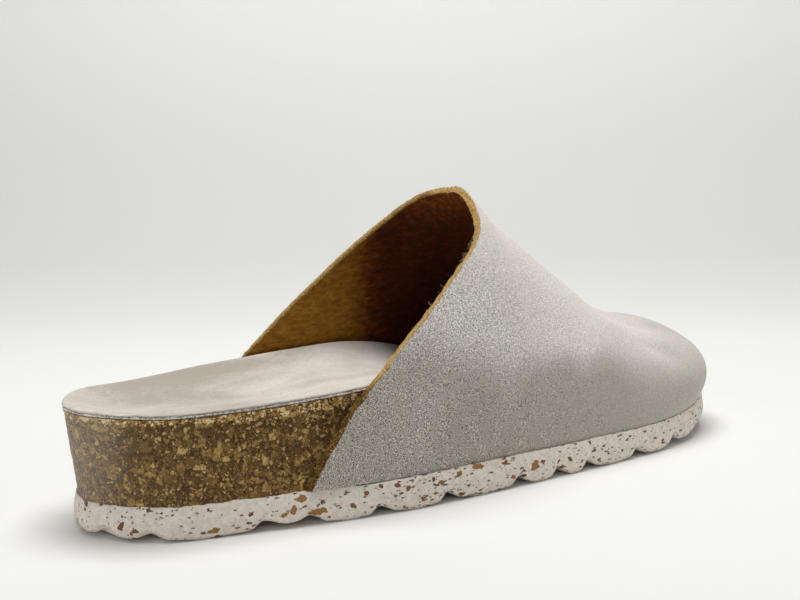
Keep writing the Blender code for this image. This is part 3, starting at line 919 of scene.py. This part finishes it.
# Where it is darker: across the heel, and in patches of painted shade, which are painted light where their
# change is below zero. In front, painted light lifts the shade that falls there
HEEL_DARK = 38.0
HEEL_DARK_REACH = 34.0
FRONT_PAINTED_LIGHT = Ease(95, 130, 0.9)
INSOLE_PATCHES = (
    Patch((31, 23, 34), 9, 0.6),
    Patch((46, 26, 36), 10, 1.0),
    Patch((61, 26, 36), 9, 0.9),
    Patch((74, 25, 37), 8, 0.8),
    Patch((58, 5, 31), 9, -0.7),
    Patch((71, 7, 32), 10, -0.8),
    Patch((110, 12, 34), 7, 0.8),
    Patch((102, 25, 38), 9, -0.6),
)


def footbed_height(station, across):
    """Top of the insole, where across runs from -1 at the outer rim to 1 at the inner rim."""
    middle = column(FOOTBED, "middle", station)
    rim = np.where(across < 0, column(FOOTBED, "outer", station), column(FOOTBED, "inner", station))
    return middle + (rim - middle) * np.abs(across) ** CUP_EXPONENT


def rim_lean(share):
    """How far the cork's rim leans out from its foot on either side."""
    return [column(FOOTBED, "lean", edge(side, share, 0.0)[0]) for side in (OUTER, INNER)]


def footbed_top(rows, columns, inset):
    """Points across the insole's top, inside its rim by the inset."""
    share = np.linspace(0, 1, rows + 1)
    outer, inner = rim_lean(share)
    start = np.stack(edge(OUTER, share, outer - inset), axis=-1)
    end = np.stack(edge(INNER, share, inner - inset), axis=-1)
    across = np.linspace(0, 1, columns + 1)
    plan = start[:, None] + (end - start)[:, None] * across[:, None]
    place = np.broadcast_to(2 * across - 1, plan.shape[:2]).copy()
    place[[0, -1]] = -1
    return np.dstack([plan, footbed_height(plan[..., 0], place)])


def insole_side(side, share, lean, rim):
    """The insole's layered and frayed edge on one side, from its rim down."""
    wall = []
    for lip in INSOLE_EDGE:
        fray = roughness(rim + (0, 0, lip.drop * FRAY_CHANGE), INSOLE_FRAY) + roughness(rim, INSOLE_WAVE)
        fray[[0, -1]] = 0.0
        station, across = edge(side, share, lean + lip.out + fray)
        wall.append(np.stack([station, across, rim[:, 2] - lip.drop], axis=-1))
    return np.stack(wall, axis=1)


def build_insole():
    """Suede cover and its pale backing, with the dark line between them round the edge."""
    share = np.linspace(0, 1, INSOLE_ROWS + 1)
    upper = footbed_top(INSOLE_ROWS, INSOLE_COLUMNS, INSOLE_INSET)
    under = upper - (0, 0, INSOLE_THICKNESS)
    outer_lean, inner_lean = rim_lean(share)
    outer = insole_side(OUTER, share, outer_lean, upper[:, 0])
    inner = insole_side(INNER, share, inner_lean, upper[:, -1])
    points = np.concatenate([upper, inner, under[:, ::-1], outer[:, ::-1], upper[:, :1]], axis=1)
    finish = np.ones((INSOLE_ROWS, points.shape[1] - 1), int)
    finish[:, : INSOLE_COLUMNS + COVER_FACES] = 0
    finish[:, -COVER_FACES:] = 0
    station = points[..., 0]
    # darker across the heel, with painted light in front and painted shade and light in patches
    darkening = bell(station - HEEL_DARK, HEEL_DARK_REACH) - eased(FRONT_PAINTED_LIGHT, station)
    traits = {"darkening": patched(darkening, points, INSOLE_PATCHES)}
    piece = laid_grid("insole_cover", points, [insole_suede(), insole_backing()], finish, traits)
    dress(piece, "insole_suede", "insole")


# The cork footbed

CORK_ROWS = 480
CORK_HEIGHTS = 40
CORK_COLUMNS = 8  # across the lid under the insole
CORK_INSET = 0.3  # how far inside the rim the lid ends
CORK_GRAIN = (Rough(0.12, 1.2, 0.0), Rough(0.12, 3.0, 4.1))
CORK_FOOT = Ease(0.0, 0.05, 1.0)  # share of the height over which roughness sets in
PIT_SIZE = 2.1
PIT_SHIFT = 7.7
PITS = Ease(0.5, 0.8, 0.4)  # how high the noise of that size stands where there is a pit, and the pits' depth
TEAR_HEIGHT = 2.6  # of the torn band under the rim at the heel's back
TEAR_MORE = Ease(15, 60, 2.8)  # how much higher it gets along the side
TEAR_ROUGH = (Rough(0.45, 1.5, 2.2),)
TEAR_SINK = 0.1  # how far that band lies in
VAMP_START = 50  # station past which the cork keeps clear of the vamp
HIDDEN_START = 125  # station past which the vamp hides it, so it is plain
PAINTED_GLARE = (Ease(8, -2, 0.22), Ease(30, 8, 0.02))  # painted glare at the heel's back, greying the cork as light glancing off it would


def cork_side(side, share, lean, top):
    """The cork's grainy side from foot to rim, and how far up the torn band each place lies (0 to 1)."""
    heights = np.linspace(0, 1, CORK_HEIGHTS + 1)
    foot = sole_top(edge(side, share, 0.0)[0])
    station, across = edge(side, share[:, None], lean[:, None] * heights)
    z = foot[:, None] + (top - foot)[:, None] * heights
    plain = np.stack([station, across, z], axis=-1)
    torn = np.clip(1 - (top[:, None] - z) / (TEAR_HEIGHT + eased(TEAR_MORE, station)), 0, 1)
    rough = roughness(plain, CORK_GRAIN) - eased(PITS, bumps(plain, PIT_SIZE, PIT_SHIFT))
    rough = rough + torn * (roughness(plain, TEAR_ROUGH) - TEAR_SINK)
    sunk = np.minimum(rough, 0.0) * (station < HIDDEN_START)
    rough = np.where(station > VAMP_START, sunk, rough) * eased(CORK_FOOT, heights)
    rough[[0, -1]] = 0.0
    station, across = edge(side, share[:, None], lean[:, None] * heights + rough)
    return np.stack([station, across, z], axis=-1), torn


def build_cork():
    """Cork body with its grainy side and the torn rim under the insole."""
    share = np.linspace(0, 1, CORK_ROWS + 1)
    lid = footbed_top(CORK_ROWS, CORK_COLUMNS, CORK_INSET)
    lid[..., 2] = lid[..., 2] - INSOLE_THICKNESS - SEAT_GAP
    outer_lean, inner_lean = rim_lean(share)
    outer, outer_torn = cork_side(OUTER, share, outer_lean, lid[:, 0, 2])
    inner, inner_torn = cork_side(INNER, share, inner_lean, lid[:, -1, 2])
    lid_torn = np.ones((len(share), CORK_COLUMNS - 1))
    points = np.concatenate([outer, lid[:, 1:-1], inner[:, ::-1], outer[:, :1]], axis=1)
    torn = np.concatenate([outer_torn, lid_torn, inner_torn[:, ::-1], outer_torn[:, :1]], axis=1)
    # painted glare at the heel's back
    painted_glare = sum(eased(ease, points[..., 0]) for ease in PAINTED_GLARE)
    traits = {"rim": torn, "painted_glare": painted_glare}
    piece = laid_grid("cork_footbed_body", points, [pressed_cork()], traits=traits)
    dress(piece, "cork", "cork_footbed")


# The outsole

SOLE_ROWS = 420
SOLE_HEIGHTS = 18
SOLE_COLUMNS = 6  # across its top
TREAD_COLUMNS = 36

# How far it stands out from the cork's foot along the station
Reach = namedtuple("Reach", "station out")
SOLE_REACH = (
    Reach(0, 0.5),
    Reach(42, 0.6),
    Reach(58, 1.6),
    Reach(80, 3.0),
    Reach(205, 3.0),
    Reach(240, 2.4),
    Reach(258, 2.2),
)

# How far its rounded side bulges past that, from the tread (0) to its top (1)
Bulge = namedtuple("Bulge", "height out")
SOLE_SIDE = (
    Bulge(0.0, -0.2),
    Bulge(0.12, 0.62),
    Bulge(0.3, 1.0),
    Bulge(0.5, 0.95),
    Bulge(0.68, 0.7),
    Bulge(0.9, 0.25),
    Bulge(1.0, 0.0),
)

# Grooves across the tread, and how far the lug in front of each stands off the floor
Groove = namedtuple("Groove", "station depth lift")
GROOVES = (
    Groove(2, 2.8, 0.8),
    Groove(10, 2.4, 0.0),
    Groove(40, 2.8, 1.5),
    Groove(54, 2.8, 0.0),
    Groove(76, 2.4, 0.0),
    Groove(100, 3.0, 0.0),
    Groove(129.5, 3.0, 0.0),
    Groove(147, 2.8, 0.0),
    Groove(161, 2.8, 0.0),
    Groove(186, 2.8, 0.0),
    Groove(207, 2.8, 0.0),
    Groove(229, 2.6, 0.0),
    Groove(246, 2.4, 0.0),
)
HEEL_LIFT = 1.0
GROOVE_FLOOR = 1.6
GROOVE_MOUTH = 8.6
GROOVE_SWELL = 1.3  # above 1 the lugs swell into the groove
NOTCH_DRAFT = 1.1  # how far a groove bites into the sole's side
LUG_CROWN = 1.2  # how far a lug's ends lie above its middle
LUG_CURVE = 1.2  # 1 for a lug like a wedge, 2 for a round one
SOLE_ROUGH = (Rough(0.1, 4.0, 0.0), Rough(0.06, 1.6, 3.3))
SOLE_CRUMBS = (Rough(0.22, 1.7, 6.1), Rough(0.16, 4.5, 1.3))
CRUMB_SHARES = (0.3, 0.7, 1.0)  # of the crumbs' height in the side's last rows, up to the top

# How crowded the small flecks are: everywhere, more towards the toe, and more about the outer waist
FLECKS_ALL = 0.65
FLECKS_FRONT = Ease(50, 100, 0.55)
FLECKS_WAIST = 0.6
WAIST_STATION = 90.0
WAIST_REACH = 28.0
STRAYS_INNER = 0.2  # and how crowded the stray large ones are on the inner side

# Brown chips on the outer side: distance from the heel's back along the outline, height, half sizes and lean
Chip = namedtuple("Chip", "arc high long tall lean")
CHIPS = (
    Chip(1, 9.5, 1.6, 0.8, -50),
    Chip(14, 5, 2.0, 0.8, 50),
    Chip(18, 3.5, 1.5, 0.8, -8),
    Chip(22, 9.5, 1.3, 0.7, -10),
    Chip(40, 2.5, 2.1, 1.2, 8),
    Chip(60.5, 4.5, 1.3, 1.1, 10),
    Chip(63.5, 5.5, 1.6, 1.1, 80),
    Chip(66, 8.5, 2.0, 1.2, -5),
    Chip(71, 4, 3.0, 1.6, 5),
    Chip(72.5, 7, 1.0, 0.7, 80),
    Chip(82, 4.5, 1.3, 0.9, -40),
    Chip(86.5, 7.5, 1.2, 0.9, 35),
    Chip(90.5, 3, 1.2, 0.8, 15),
    Chip(91.5, 9, 1.2, 0.8, -45),
    Chip(97, 8.5, 1.5, 0.7, -20),
    Chip(100.5, 7, 1.3, 0.9, 50),
    Chip(109.5, 8.5, 1.0, 0.7, 80),
    Chip(112.5, 7, 1.5, 1.0, -10),
    Chip(119.5, 8.5, 1.5, 1.0, 35),
    Chip(127, 9.5, 2.8, 1.2, 0),
    Chip(147, 3, 1.1, 0.8, 20),
    Chip(151, 6, 2.7, 1.7, 35),
    Chip(162, 5.5, 1.2, 0.8, 20),
    Chip(164.5, 3, 1.3, 1.0, 80),
    Chip(167, 5.5, 1.9, 0.8, -35),
    Chip(177, 9.5, 1.1, 0.8, 80),
    Chip(178.5, 6.5, 1.4, 0.6, 10),
    Chip(181, 3, 1.0, 0.7, 10),
    Chip(192.5, 4, 1.0, 0.8, 70),
    Chip(214.5, 4, 1.3, 0.8, 50),
)
CHIP_CORNERS = 1.2  # 1 for a chip like a diamond, 2 for a round one
GOLDEN = Ease(0.75, 1.15, 1.0)  # half heights over which a chip's brown turns golden


def tread_lift(arc):
    """Height of the tread above the floor along the outer edge, and how far in a groove it is (0 to 1)."""
    length = HALVES[OUTER].length
    middles = np.array([share_at(OUTER, groove.station) * length for groove in GROOVES])
    lifts = np.array([HEEL_LIFT, *[groove.lift for groove in GROOVES]])
    ends = np.concatenate([[-middles[0]], middles, [2 * length - middles[-1]]])
    lug = np.searchsorted(middles, arc)
    along = (2 * arc - ends[lug] - ends[lug + 1]) / (ends[lug + 1] - ends[lug])
    lift = lifts[lug] + LUG_CROWN * np.abs(along) ** LUG_CURVE
    bite = np.zeros_like(arc)
    for middle, groove in zip(middles, GROOVES):
        gap = np.abs(arc - middle)
        near = np.clip((GROOVE_MOUTH / 2 - gap) / ((GROOVE_MOUTH - GROOVE_FLOOR) / 2), 0, 1) ** GROOVE_SWELL
        lift = lift + (groove.depth - lift) * near
        bite = np.maximum(bite, near)
    return lift, bite


def chip_depth(arc, high):
    """Depth of a place in the nearest chip, 1 at its middle and 0 at its edge, and its half height."""
    deepest = np.full(high.shape, -1.0)
    tall = np.ones(high.shape)
    for chip in CHIPS:
        lean = np.radians(chip.lean)
        along, up = arc - chip.arc, high - chip.high
        u = np.abs(along * np.cos(lean) + up * np.sin(lean)) / chip.long
        v = np.abs(up * np.cos(lean) - along * np.sin(lean)) / chip.tall
        depth = 1 - (u**CHIP_CORNERS + v**CHIP_CORNERS) ** (1 / CHIP_CORNERS)
        tall = np.where(depth > deepest, chip.tall, tall)
        deepest = np.maximum(deepest, depth)
    return deepest, tall


def sole_wall(side, share, lift, bite):
    """The sole's rounded side from the tread to the top, notched by the grooves and crumbled at the top."""
    heights = np.linspace(0, 1, SOLE_HEIGHTS + 1)
    reach = column(SOLE_REACH, "out", edge(side, share, 0.0)[0])
    draft = NOTCH_DRAFT * bite[:, None] * (1 - heights) ** 2
    draft[[0, -1]] = 0.0
    out = reach[:, None] + column(SOLE_SIDE, "out", heights) - draft
    station, across = edge(side, share[:, None], out)
    low = spring(station) + lift[:, None]
    z = low + (sole_top(station) - low) * heights
    plain = np.stack([station, across, z], axis=-1)
    rough = roughness(plain, SOLE_ROUGH)
    rough[[0, -1]] = 0.0
    rough[:, -1] = 0.0
    top = slice(-len(CRUMB_SHARES), None)
    z[1:-1, top] += roughness(plain[:, top], SOLE_CRUMBS)[1:-1] * CRUMB_SHARES
    station, across = edge(side, share[:, None], out + rough)
    return np.stack([station, across, z], axis=-1)


def sole_traits(points, share):
    """How crowded the small flecks are on the sole, and where its chips lie and which of them are golden."""
    station, across = points[..., 0], points[..., 1]
    chips = np.full(station.shape, -1.0)
    tall = np.ones(station.shape)
    arc = share[:, None] * HALVES[OUTER].length
    # the outer side's columns, and the last one of all, which repeats the first
    for columns in (slice(0, SOLE_HEIGHTS + 1), slice(-1, None)):
        chips[:, columns], tall[:, columns] = chip_depth(arc, points[:, columns, 2])
    waist = FLECKS_WAIST * bell(station - WAIST_STATION, WAIST_REACH) * (across < 0)
    return {
        "flecks": FLECKS_ALL + eased(FLECKS_FRONT, station) + waist,
        "strays": STRAYS_INNER * (across > 0),
        "chips": chips,
        "golden": eased(GOLDEN, tall),
    }


def build_outsole():
    """Foam outsole with crowned lugs between the grooves and a rounded side."""
    share = np.linspace(0, 1, SOLE_ROWS + 1)
    lift, bite = tread_lift(share * HALVES[OUTER].length)
    outer, inner = [sole_wall(side, share, lift, bite) for side in (OUTER, INNER)]
    lid_share = np.linspace(0, 1, SOLE_COLUMNS + 1)[1:-1, None]
    lid = outer[:, -1:] + (inner[:, -1:] - outer[:, -1:]) * lid_share
    lid[..., 2] = sole_top(lid[..., 0])
    tread_share = np.linspace(1, 0, TREAD_COLUMNS + 1)[1:-1, None]
    tread = outer[:, :1] + (inner[:, :1] - outer[:, :1]) * tread_share
    tread[..., 2] = spring(tread[..., 0]) + lift[:, None]
    points = np.concatenate([outer, lid, inner[:, ::-1], tread, outer[:, :1]], axis=1)
    piece = laid_grid("foam_outsole", points, [flecked_foam()], traits=sole_traits(points, share), sharp=40.0)
    dress(piece, "foam_rubber", "outsole")


# Stage, light and camera

# The camera's turn round its aim in degrees, its distance in millimetres, and its lens on the sensor
AZIMUTH = -39.381
ELEVATION = 7.417
ROLL = -0.815
DISTANCE = 546.701
AIM = (173.029, 67.054, 46.010)
LENS = 61.022
SENSOR = 36.0
NEAREST = 10.0  # what is nearer than this is not drawn

# The paper along the camera's line of sight: where it starts and where it bends up, from the sandal's middle,
# the bend's radius, and the paper's height and half width
PAPER_START = -560.0
PAPER_FLAT = 250.0
PAPER_BEND = 550.0
PAPER_TOP = 900.0
PAPER_HALF_WIDTH = 660.0
PAPER_FLAT_ROWS = 8
PAPER_BEND_ROWS = 24
PAPER_COLUMNS = 4

# Its painted shade and light at a height, as a share of its colour
PaperShade = namedtuple("PaperShade", "height share")
PAPER_SHADING = (
    PaperShade(0, 1.0),
    PaperShade(4, 0.94),
    PaperShade(14, 0.89),
    PaperShade(30, 0.855),
    PaperShade(50, 0.865),
    PaperShade(100, 0.905),
    PaperShade(150, 0.98),
    PaperShade(210, 1.08),
)

# Square soft lights: sizes in millimetres, powers in watts
Lamp = namedtuple("Lamp", "name place aim size power")
LAMPS = (
    Lamp("top_softbox", (155, 33, 900), (130, 2, 0), 600, 7.8),
    Lamp("heel_side_softbox", (-855, -95, 350), (130, 2, 20), 700, 2.4),
    Lamp("camera_side_softbox", (-504, -771, 350), (130, 2, 20), 900, 0.9),
    Lamp("toe_softbox", (889, -491, 350), (130, 2, 30), 600, 1.8),
    Lamp("inner_heel_softbox", (-439, 727, 350), (130, 2, 30), 600, 0.7),
)


def build_stage():
    """Pale paper that runs under the sandal and curves up behind it."""
    turn = np.radians(AZIMUTH)
    ahead, right = np.array([-np.sin(turn), np.cos(turn)]), np.array([np.cos(turn), np.sin(turn)])
    flat = np.linspace(PAPER_START, PAPER_FLAT, PAPER_FLAT_ROWS)
    bend = np.linspace(0, np.pi / 2, PAPER_BEND_ROWS + 1)[1:]
    away = np.concatenate([flat, PAPER_FLAT + PAPER_BEND * np.sin(bend), [PAPER_FLAT + PAPER_BEND]])
    high = np.concatenate([np.zeros(PAPER_FLAT_ROWS), PAPER_BEND * (1 - np.cos(bend)), [PAPER_TOP]])
    wide = np.linspace(-PAPER_HALF_WIDTH, PAPER_HALF_WIDTH, PAPER_COLUMNS + 1)
    plan = (HEEL_TO_MIDDLE, AXIS_TO_MIDDLE) + away[:, None, None] * ahead + wide[:, None] * right
    points = np.dstack([plan, np.broadcast_to(high[:, None], plan.shape[:2])])
    # painted shade where the paper starts to rise and painted light higher up
    tone = np.interp(points[..., 2], *zip(*PAPER_SHADING))
    paper = laid_grid("paper_sweep", points, [studio_paper()], traits={"tone": tone}, sharp=80.0)


def add_light(lamp):
    """A square soft light, turned to its aim and out of the camera's sight."""
    light = bpy.data.lights.new(lamp.name, "AREA")
    light.size = lamp.size * MM
    light.energy = lamp.power
    holder = bpy.data.objects.new(lamp.name, light)
    bpy.context.scene.collection.objects.link(holder)
    at, aim = Vector(placed(lamp.place)), Vector(placed(lamp.aim))
    holder.matrix_world = Matrix.Translation(at) @ (at - aim).to_track_quat("Z", "Y").to_matrix().to_4x4()
    holder.visible_camera = False


def build_light():
    """Soft light from above and all round, in a pale room that the camera sees and that lights nothing."""
    world = bpy.data.worlds.new("pale_room")
    bpy.context.scene.world = world
    world.use_nodes = True
    tree = world.node_tree
    room = tree.nodes["Background"]
    room.inputs["Color"].default_value = linear("#e3e3df")
    seen = add(tree, "LightPath", out="Is Camera Ray")
    tree.links.new(seen, room.inputs["Strength"])
    for lamp in LAMPS:
        add_light(lamp)


def build_camera():
    """Camera at the heel's outer side, low over the floor."""
    turn, tilt, roll = np.radians([AZIMUTH, ELEVATION, ROLL])
    back = np.array([np.sin(turn) * np.cos(tilt), -np.cos(turn) * np.cos(tilt), np.sin(tilt)])
    right = np.array([np.cos(turn), np.sin(turn), 0.0])
    up = np.cross(back, right)
    right, up = right * np.cos(roll) + up * np.sin(roll), up * np.cos(roll) - right * np.sin(roll)
    camera = bpy.data.objects.new("camera", bpy.data.cameras.new("camera"))
    camera.data.lens = LENS
    camera.data.sensor_width = SENSOR
    camera.data.sensor_fit = "HORIZONTAL"
    camera.data.clip_start = NEAREST * MM
    bpy.context.scene.collection.objects.link(camera)
    pose = np.eye(4)
    pose[:3, 0], pose[:3, 1], pose[:3, 2] = right, up, back
    pose[:3, 3] = placed(np.array(AIM) + back * DISTANCE)
    camera.matrix_world = Matrix(pose.tolist())
    bpy.context.scene.camera = camera


build_camera()
build_outsole()
build_cork()
build_insole()
build_fibres(*build_vamp())
build_stage()
build_light()
bpy.context.scene.view_settings.view_transform = "Standard"
